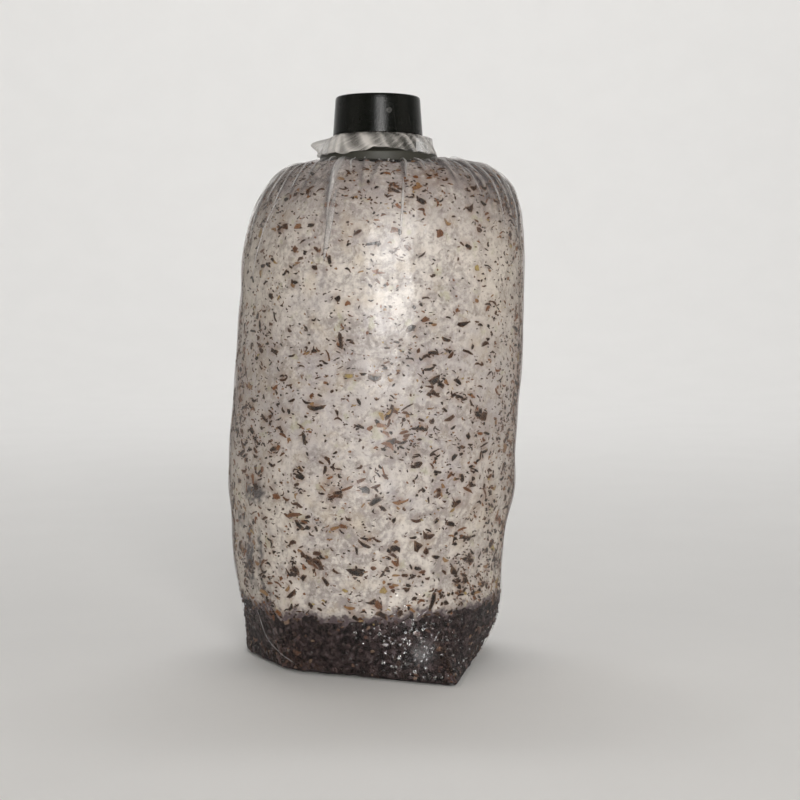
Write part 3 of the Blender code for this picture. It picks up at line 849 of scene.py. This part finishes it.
def makeDarkChips(material):
    rng = np.random.default_rng(darkChips["seed"])
    theta, level = scatter(darkChips["tries"], rng, (0.01, 0.2),
                           lambda points, theta: points[:, 2] < fringeHeight(points, theta) + 2.0)
    centre, normal = sawdustSurface(theta, level)
    count = len(theta)
    length = np.clip(rng.lognormal(0.62, 0.38, count), 0.8, 4.6)
    width = length * rng.uniform(0.3, 0.8, count)
    tilt = rng.normal(0, 0.30, count)
    thickness = np.clip(0.22 * length, 0.3, 1.0)
    lift = 0.42 - 0.3 * thickness - 0.5 * np.abs(np.sin(tilt)) * length / 2
    centre = centre + normal * lift[:, None]
    centre[:, 2] = np.maximum(centre[:, 2], 0.6 + 0.5 * length)    # none reaches under the bag
    piece = flakeMesh("sawdustChips", material, centre, normal, length, width, thickness,
                      rng.uniform(0, 2 * np.pi, count), tilt, rng.uniform(0, 1, count),
                      rng.normal(-0.35, 0.18, count), rng, corners=6)
    return wear(piece, "wet_sawdust")


# film with two walls: up the outside from the middle of the base, under the flange, and back down inside
def makeFilm(material):
    theta = (math.radians(bag["earAzimuth"]) + turns(film["columns"]))[None]
    level = levelRows(0.0, film["wallStep"], film["shoulderStep"])
    walls = []
    for lift in (film["wall"], -film["wall"]):
        rings, _ = filmSurface(theta, level, lift)
        floorHeight = film["wall"] * (1 if lift > 0 else 3)
        rings[0, :, 2] = floorHeight - film["wall"]
        middle, end = film["gathered"]
        inward = np.array([collarHigh[0] - 0.8, middle, end + lift])[:, None]
        gather = polar(inward, theta, collarLow[2] - 0.5 + lift)
        walls.append(np.concatenate([drawnIn(rings[0], 0.3, 0.7, 0.97), rings, gather]))
    fold = np.clip(pleatHeights(theta, level) / 1.3, 0, 1) ** 1.5
    fold = fold * (1 - 0.9 * smoothStep(level, 1.62, 1.82))
    fold = np.pad(fold, ((3, 3), (0, 0)))
    grid = np.concatenate([walls[0], walls[1][::-1]])
    piece = gridMesh("bagFilm", grid, material, facts={"fold": np.concatenate([fold, fold[::-1]])})
    return wear(piece, "clear_film", "film_bag")


# smooth curve through a few (radius, height) points, passing through each (Catmull-Rom)
def smoothPath(points, samples):
    points = np.array(points, float)
    padded = np.vstack([2 * points[0] - points[1], points, 2 * points[-1] - points[-2]])
    place = np.linspace(0, len(points) - 1 - 1e-9, samples)
    k = place.astype(int)
    t = (place - k)[:, None]
    p0, p1, p2, p3 = padded[k], padded[k + 1], padded[k + 2], padded[k + 3]
    square, cube = 2 * p0 - 5 * p1 + 4 * p2 - p3, 3 * p1 - p0 - 3 * p2 + p3
    return 0.5 * (2 * p1 + (p2 - p0) * t + square * t**2 + cube * t**3)


skirt = dict(
    columns=300, wall=0.13, folds=26, seed=77, lean=-0.42,
    # inside the bore, over the collar's rim, down beside it, then out from under the cap to the hem
    bore=((14.2, 200.3), (13.0, 201.4), (12.9, 212.0), (13.0, 221.6), (14.6, 222.9), (16.1, 221.8),
          (16.15, 214.5)),
    flare=((16.2, 213.6), (16.9, 211.7), (18.9, 211.1), (20.6, 209.9), (22.2, 207.7), (23.5, 205.4),
           (24.3, 203.6)),
)


# the skirt's folds: pointed ridges at random azimuths that grow towards the hem and lean to one side
def skirtFolds(theta, along):
    rng = np.random.default_rng(skirt["seed"])
    count = skirt["folds"]
    azimuths = turns(count, rng.uniform(-0.45, 0.45, count))
    width = rng.uniform(0.05, 0.15, count)
    height = rng.uniform(0.2, 1.25, count)
    lean = skirt["lean"] * rng.uniform(0.3, 1.2, count)
    total = np.zeros(np.broadcast(theta, along).shape)
    for k in range(count):
        across = wrapped(theta - azimuths[k] + lean[k] * (along - 0.5))
        total += height[k] * np.exp(-np.abs(across / width[k]) ** 1.3)
    return total - 0.45


def makeSkirt(material):
    theta = turns(skirt["columns"])[None]
    bore = smoothPath(skirt["bore"], 26)[:-1]
    flare = smoothPath(skirt["flare"], 34)
    path = np.concatenate([bore, flare])
    along = np.concatenate([np.zeros(len(bore)), np.linspace(0, 1, len(flare))])[:, None]
    slope = unit(np.gradient(path, axis=0))
    outR, outZ = -slope[:, 1:2], slope[:, 0:1]    # left of the way along: outwards and up on the flare
    fold = skirtFolds(theta, along) * smoothStep(along, 0.12, 0.55)
    flap = 5.0 * bell(theta, 179, 0.15) * np.exp(-((along - 0.62) / 0.16) ** 2)
    full = 2.6 * bell(theta, -6, 0.42) * np.exp(-((along - 0.36) / 0.20) ** 2)
    hem = 0.7 * bell(theta, -122, 0.2) - 1.9 * bell(theta, -84, 0.42)
    hem = hem + 0.22 * np.sin(7 * theta + 1.0) + 0.16 * np.sin(17 * theta)
    drop = hem * smoothStep(along, 0.6, 1.0)
    clearness = 0.22 * bell(theta, -88, 0.24) + 0.76 * bell(theta, -46, 0.32)
    haze = np.clip(0.42 + 0.95 * skirtFolds(theta, along) - clearness, -0.15, 1.1)
    haze = np.where(along > 0, haze, 0.6)
    walls = []
    for offset in (skirt["wall"], -skirt["wall"]):
        push = fold + offset
        radius = path[:, 0:1] + outR * push + 0.45 * drop + flap + full
        height = path[:, 1:2] + outZ * push - drop
        walls.append(polar(radius, theta, height))
    grid = np.concatenate([walls[1], walls[0][::-1]])
    piece = gridMesh("neckFilm", grid, material, poles=(False, False), looped=True,
                     facts={"fold": np.concatenate([haze, haze[::-1]])})
    return wear(piece, "clear_film", "film_bag")


# doubled-over film: thin raised ribs that lie on the bag along given paths and taper to nothing at both ends
def ribMesh(name, material, points, normal, width, height, sides=6):
    count, steps = points.shape[:2]
    across = np.cross(unit(np.gradient(points, axis=1)), normal)
    share = np.linspace(0, 1, steps)
    taper = np.sin(np.pi * np.clip(share, 0.02, 0.98)) ** 0.6
    angle = turns(sides)
    w = (width[:, None] * taper)[..., None, None] * np.cos(angle)[:, None] / 2
    h = (height[:, None] * taper)[..., None, None] * np.sin(angle)[:, None] / 2
    grid = points[:, :, None] + across[:, :, None] * w + normal[:, :, None] * h
    index = np.arange(count * steps * sides).reshape(count, steps, sides)
    beside = np.roll(index, -1, axis=2)
    quads = np.stack([index[:, :-1], index[:, 1:], beside[:, 1:], beside[:, :-1]], axis=-1).reshape(-1, 4)
    ends = [*index[:, 0].tolist(), *index[:, -1, ::-1].tolist()]
    return newPiece(name, grid.reshape(-1, 3), quads.tolist() + ends, material)


ribs = dict(
    spare=22, seed=13, steps=26,
    # single creases: width, then azimuth and height at three points
    single=((0.6, (-146, 24), (-142, 12), (-126, 4.5)), (0.6, (-20, 3), (-14, 16), (-12, 34)),
            (0.7, (8, 30), (4, 44), (7, 62)), (0.7, (176, 8), (171, 30), (178, 48)),
            (0.6, (150, 4), (156, 16), (150, 30)), (0.6, (40, 4), (48, 16), (44, 34)),
            (0.6, (100, 3), (94, 14), (98, 30)), (2.6, (-108.5, 187), (-110, 175), (-112, 160)),
            (1.0, (-80, 192), (-81.5, 181), (-83, 168)), (1.3, (-168, 168), (-174, 152), (-178, 132)),
            (1.0, (-140, 186), (-147, 172), (-151, 154))),
)


def makeRibs(material):
    rng = np.random.default_rng(ribs["seed"])
    folds = np.array(pleats["folds"], float)
    spare = rng.uniform(0, 360, ribs["spare"])
    start = np.radians(np.concatenate([folds[:, 0], spare]))[:, None]
    end = np.radians(np.concatenate([folds[:, 1], spare + rng.normal(0, 3, len(spare))]))[:, None]
    reach = np.concatenate([folds[:, 2], rng.uniform(18, 50, len(spare))])[:, None]
    count = len(start)
    begin = np.maximum(rng.uniform(0.08, 0.35, (count, 1)), 15 / reach)
    share = begin + (rng.uniform(0.7, 1.0, (count, 1)) - begin) * np.linspace(0, 1, ribs["steps"])[None]
    wander = 0.008 * np.sin(share * 17 + rng.uniform(0, 6, (count, 1)))
    theta = start + (end - start) * share + wander
    level = 2 - reach * share / bag["shoulderArc"]
    singleWidth = [row[0] for row in ribs["single"]]
    route = np.concatenate([smoothPath(row[1:], ribs["steps"]) for row in ribs["single"]])
    azimuth, shape = np.radians(route[:, 0]), (len(singleWidth), ribs["steps"])
    theta = np.concatenate([theta, azimuth.reshape(shape)])
    level = np.concatenate([level, levelAt(azimuth, route[:, 1]).reshape(shape)])
    points, normal = filmSurface(theta, level, 0.12)
    width = np.concatenate([0.85 * folds[:, 3], rng.uniform(0.4, 0.8, len(spare)), singleWidth])
    height = np.minimum(width, 1.0) * rng.uniform(0.35, 0.6, len(width))
    return wear(ribMesh("filmCreases", material, points, normal, width, height), "clear_film")


dew = dict(
    seed=17, cluster=240, scattered=130, depth=-0.42,
    # middle and spread of the cluster at the front right: azimuth and height
    azimuth=(-69, 13), height=(18, 8), lowest=3.0, scatteredTop=26, highest=34.0, radius=(0.13, 0.7),
    rings=5, columns=8,
)


# drops of condensation: flattened balls between the film and what is in the bag
def makeDew(material):
    rng = np.random.default_rng(dew["seed"])
    near, far = dew["cluster"], dew["scattered"]
    theta = np.radians(np.concatenate([rng.normal(*dew["azimuth"], near), rng.uniform(-180, 180, far)]))
    height = [rng.normal(*dew["height"], near), rng.uniform(dew["lowest"], dew["scatteredTop"], far)]
    height = np.clip(np.concatenate(height), dew["lowest"], dew["highest"])
    centre, normal = filmSurface(theta, height / bag["shoulderStart"], dew["depth"])
    radius = np.clip(rng.lognormal(-1.3, 0.38, near + far), *dew["radius"])
    side, upward = tangents(normal)
    lat, around = dew["rings"], dew["columns"]
    phi = np.linspace(0, np.pi, lat + 2)[1:-1, None]
    shape = polar(np.sin(phi), turns(around), -0.5 * np.cos(phi))
    ball = np.concatenate([[[0, 0, -0.5]], shape.reshape(-1, 3), [[0, 0, 0.5]]])
    axes = np.stack([side, upward, normal], axis=1)
    points = centre[:, None] + radius[:, None, None] * np.einsum("pk,nkc->npc", ball, axes)
    index = 1 + np.arange(lat * around).reshape(lat, around)
    beside = np.roll(index, -1, axis=1)
    quads = np.stack([index[:-1], beside[:-1], beside[1:], index[1:]], -1).reshape(-1, 4)
    low = np.stack([np.zeros(around, int), beside[0], index[0]], -1)
    high = np.stack([np.full(around, lat * around + 1), index[-1], beside[-1]], -1)
    start = np.arange(len(centre))[:, None, None] * len(ball)
    faces = sum([(start + part).reshape(-1, part.shape[1]).tolist() for part in (quads, low, high)], [])
    return wear(newPiece("condensation", points.reshape(-1, 3), faces, material), "clear_film")


# turned surface: a path of (radius, height) swept about the neck's axis, from pole to pole or looped
def turnedPiece(name, path, columns, material, poles, looped=False):
    path = np.array(path, float)
    grid = polar(path[:, :1], turns(columns), path[:, 1:])
    return gridMesh(name, grid, material, poles=poles, looped=looped)


def arc(centre, radius, start, end, steps=6):  # points on a round edge, angles in degrees
    angle = np.radians(np.linspace(start, end, steps))
    return [(centre[0] + radius * math.cos(a), centre[1] + radius * math.sin(a)) for a in angle]


cap = dict(
    columns=144, wallRings=16, draft=1.1, wall=1.2, top=1.5, edge=0.9, lip=0.25,
    nubAzimuth=-75, nubHeight=220.6, nubRadius=1.15, nubColumns=20,
    # the shallow recess in the top: steps in from the edge, and down
    recess=((1.6, 0.0), (2.2, 0.0), (2.4, 0.2), (3.0, 0.25), (3.6, 0.25)),
    # the nub's outline: radius, and how far it stands out of the wall
    nub=((1.4, -0.5), (1.35, 0.02), (1.2, 0.30), (0.95, 0.42), (0.7, 0.25), (0.5, 0.45), (0.25, 0.7)),
)


def makeCap(material, nubMaterial):
    low, high = capLow[2], capHigh[2]
    wide = capHigh[0]
    narrow = wide - cap["draft"]
    wallHeights = np.linspace(low + 0.8, high - cap["edge"] - 0.4, cap["wallRings"])
    outer = [(wide + (narrow - wide) * (z - low) / (high - low), z) for z in wallHeights]
    inner = [(r - cap["wall"], z) for r, z in outer[::-1]]
    ceiling = high - cap["top"]
    path = [(2.0, ceiling), (narrow - cap["wall"] - 0.6, ceiling), *inner,
            (wide - cap["wall"], low + 0.2), (wide - cap["wall"] + 0.2, low), (wide - cap["lip"], low),
            *arc((wide - cap["lip"], low + cap["lip"]), cap["lip"], -60, 0, 4), *outer,
            *arc((narrow - cap["edge"], high - cap["edge"]), cap["edge"], 0, 90, 7),
            *[(narrow - step, high - drop) for step, drop in cap["recess"]], (2.0, high - 0.25)]
    piece = turnedPiece("capShell", path, cap["columns"], material, (True, True))
    wear(piece, "cap_plastic", "cap")
    # the nub that the mould's gate left
    share = (cap["nubHeight"] - low) / (high - low)
    wallRadius = wide + (narrow - wide) * share
    azimuth = math.radians(cap["nubAzimuth"])
    out = np.array([math.cos(azimuth), math.sin(azimuth), 0.0])
    side = np.array([-math.sin(azimuth), math.cos(azimuth), 0.0])
    turn = turns(cap["nubColumns"])
    path = np.array(cap["nub"])
    radius, rise = path[:, :1] * cap["nubRadius"] / 1.2, path[:, 1:]
    grid = (out * (wallRadius + rise[..., None]) + side * (radius * np.cos(turn))[..., None]
            + np.array([0, 0, 1.0]) * (cap["nubHeight"] + radius * np.sin(turn))[..., None])
    return wear(gridMesh("capNub", grid, nubMaterial), "cap_plastic")


collar = dict(bore=13.6, tube=15.5, flangeHeight=3.8, columns=128)


def makeCollar(material):
    bore, tube, flange = collar["bore"], collar["tube"], collarHigh[0]
    low, rim, high = collarLow[2], collarLow[2] + collar["flangeHeight"], collarHigh[2]
    path = [(bore, low + 0.6), (bore + 0.5, low), (tube, low), (tube, rim - 1.5), (flange - 1.5, rim - 1.5),
            (flange - 1.5, low), (flange - 0.3, low), *arc((flange - 0.3, low + 0.3), 0.3, -60, 0, 4),
            *arc((flange - 0.7, rim - 0.7), 0.7, 0, 70, 6), (tube + 1.6, rim + 1.1),
            *arc((tube + 1.2, rim + 2.2), 1.2, 250, 180, 5), (tube, high - 0.6),
            *arc((tube - 0.5, high - 0.5), 0.5, 10, 90, 4), (bore + 0.5, high), (bore, high - 0.6)]
    piece = turnedPiece("collarRing", path, collar["columns"], material, (False, False), looped=True)
    return wear(piece, "collar_plastic", "neck_collar")


wool = dict(columns=72, rings=40, sides=0.45, ends=0.8)    # sides and ends: how square, 1 is round


def makePlug(material):
    low, high = nodeBox("cotton_plug")
    radius, middle, half = high[0], 0.5 * (low[2] + high[2]), 0.5 * (high[2] - low[2])
    phi = np.linspace(-np.pi / 2, np.pi / 2, wool["rings"])[1:-1, None]
    rounded = radius * np.abs(np.cos(phi)) ** wool["sides"]
    climb = middle + half * np.sign(np.sin(phi)) * np.abs(np.sin(phi)) ** wool["ends"]
    grid = polar(rounded, turns(wool["columns"]), climb)
    ruffled = 0.97 + 0.03 * waveNoise(grid, 3.0, 61) * smoothStep(np.abs(grid[..., 2] - middle), half, 0.0)
    grid[..., :2] *= ruffled[..., None]
    return wear(gridMesh("cottonPlug", grid, material), "cotton", "cotton_plug")


studio = dict(
    eye=(0.009, -0.651, 0.149), down=3.9, lens=71.5,
    floorRadius=2.4, sweep=0.9, wallTop=2.6, floorColour=(0.88, 0.875, 0.865), world=(1.0, 0.99, 0.98),
    ambient=0.08,
    # lamps: place, aim, width, height, watts, colour, if it lights dull surfaces, if it shows in glossy ones
    lamps=(((0.20, -1.21, 0.33), (0.0, 0.0, 0.12), 0.40, 0.40, 9.5, (1.0, 0.975, 0.94), True, True),
           ((0.16, -1.25, 0.46), (0.0, 0.0, 0.14), 0.56, 0.70, 7.5, (0.97, 0.98, 1.0), False, True),
           ((-1.3, -0.7, 0.7), (0.0, 0.0, 0.10), 0.9, 1.1, 1.6, (1.0, 0.93, 0.84), True, True),
           ((1.3, -0.5, 0.6), (0.0, 0.0, 0.10), 0.8, 1.0, 1.4, (1.0, 0.93, 0.84), True, True),
           ((0.0, 0.9, 1.9), (0.0, 2.0, 0.3), 1.6, 0.6, 22.0, (1.0, 1.0, 1.0), True, False)),
)


def makeStudio():
    material, tree, shader, place = newMaterial("paperSweep", Roughness=0.9)
    fibre = noise(tree, place, 60, 3.0)
    light = studio["floorColour"]
    plug(tree, mixColour(tree, spread(tree, fibre, 0.3, 0.7, 0.0, 0.3), light, [0.96 * c for c in light]),
         shader.inputs["Base Color"])
    reach, bend = studio["floorRadius"] / mm, studio["sweep"] / mm
    path = [(100.0, -0.05), (reach - bend, -0.05), *arc((reach - bend, bend), bend + 0.05, -85, 0, 12),
            (reach + 0.05, studio["wallTop"] / mm)]
    sweep = turnedPiece("paperFloor", path, 96, material, (True, False))
    sweep.data.flip_normals()
    world = bpy.data.worlds.new("studioAir")
    world.use_nodes = True
    background = world.node_tree.nodes["Background"]
    background.inputs["Color"].default_value = (*studio["world"], 1.0)
    background.inputs["Strength"].default_value = studio["ambient"]
    bpy.context.scene.world = world
    for number, (spot, aim, width, height, watts, colour, dull, glossy) in enumerate(studio["lamps"]):
        lamp = bpy.data.lights.new(f"softbox{number}", "AREA")
        lamp.shape, lamp.size, lamp.size_y = "RECTANGLE", width, height
        lamp.energy, lamp.color = watts, colour
        holder = bpy.data.objects.new(f"softbox{number}", lamp)
        holder.location = spot
        holder.visible_diffuse, holder.visible_glossy = dull, glossy
        direction = np.array(aim) - np.array(spot)
        yaw = math.atan2(direction[1], direction[0]) - math.pi / 2
        pitch = math.atan2(direction[2], math.hypot(direction[0], direction[1]))
        holder.rotation_euler = (math.pi / 2 + pitch, 0.0, yaw)
        bpy.context.scene.collection.objects.link(holder)
    eye = bpy.data.cameras.new("camera")
    eye.sensor_width, eye.lens = 36.0, studio["lens"]
    holder = bpy.data.objects.new("camera", eye)
    holder.location = studio["eye"]
    holder.rotation_euler = (math.radians(90 - studio["down"]), 0.0, 0.0)
    bpy.context.scene.collection.objects.link(holder)
    bpy.context.scene.camera = holder
    bpy.context.scene.view_settings.view_transform = "Standard"


makeStudio()
print("studio ready")
growthSkin = myceliumMaterial()
flakes = placeChips()
makeBlock(growthSkin, flakes[0])
print("mycelium block grown")
makeBase(sawdustMaterial())
print("sawdust base packed")
makeChips(chipMaterial("chipWood", chipStops, growth["thin"], 0.7, 0.75), *flakes)
makeDarkChips(chipMaterial("wetWood", darkStops, growth["shaded"], 0.42, 0.1))
print("chips scattered")
makeFilm(filmMaterial("bagFilm", haze=0.0, streakHaze=0.035, foldHaze=0.52, baseShare=0.0,
                      tint=(0.66, 0.64, 0.63), gloss=0.28, lean=0.0, crinkleDepth=0.26))
makeSkirt(filmMaterial("skirtFilm", haze=0.10, streakHaze=0.50, foldHaze=0.70, baseShare=1.0,
                       tint=(0.66, 0.63, 0.595), gloss=0.36, lean=-70.0, crinkleDepth=0.3))
makeRibs(filmMaterial("creaseFilm", haze=0.30, streakHaze=0.70, foldHaze=0.0, baseShare=1.0,
                      tint=(0.62, 0.60, 0.59), gloss=0.34, lean=0.0, crinkleDepth=0.05))
print("film drawn over")
makeDew(dropMaterial())
print("condensation formed")
makeCap(plasticMaterial("capPlastic", (0.003, 0.0036, 0.0024), (0.016, 0.0155, 0.014), 0.21, 0.145),
        # the nub's plastic is lighter than the cap's: a painted highlight for the nub's glint
        plasticMaterial("gateGlintPainted", (0.022, 0.022, 0.019), (0.085, 0.082, 0.074), 0.30, 0.40))
makeCollar(plasticMaterial("collarPlastic", (0.046, 0.045, 0.035), (0.080, 0.077, 0.066), 0.5, 0.25))
makePlug(cottonMaterial())
print("collar, plug and cap fitted")
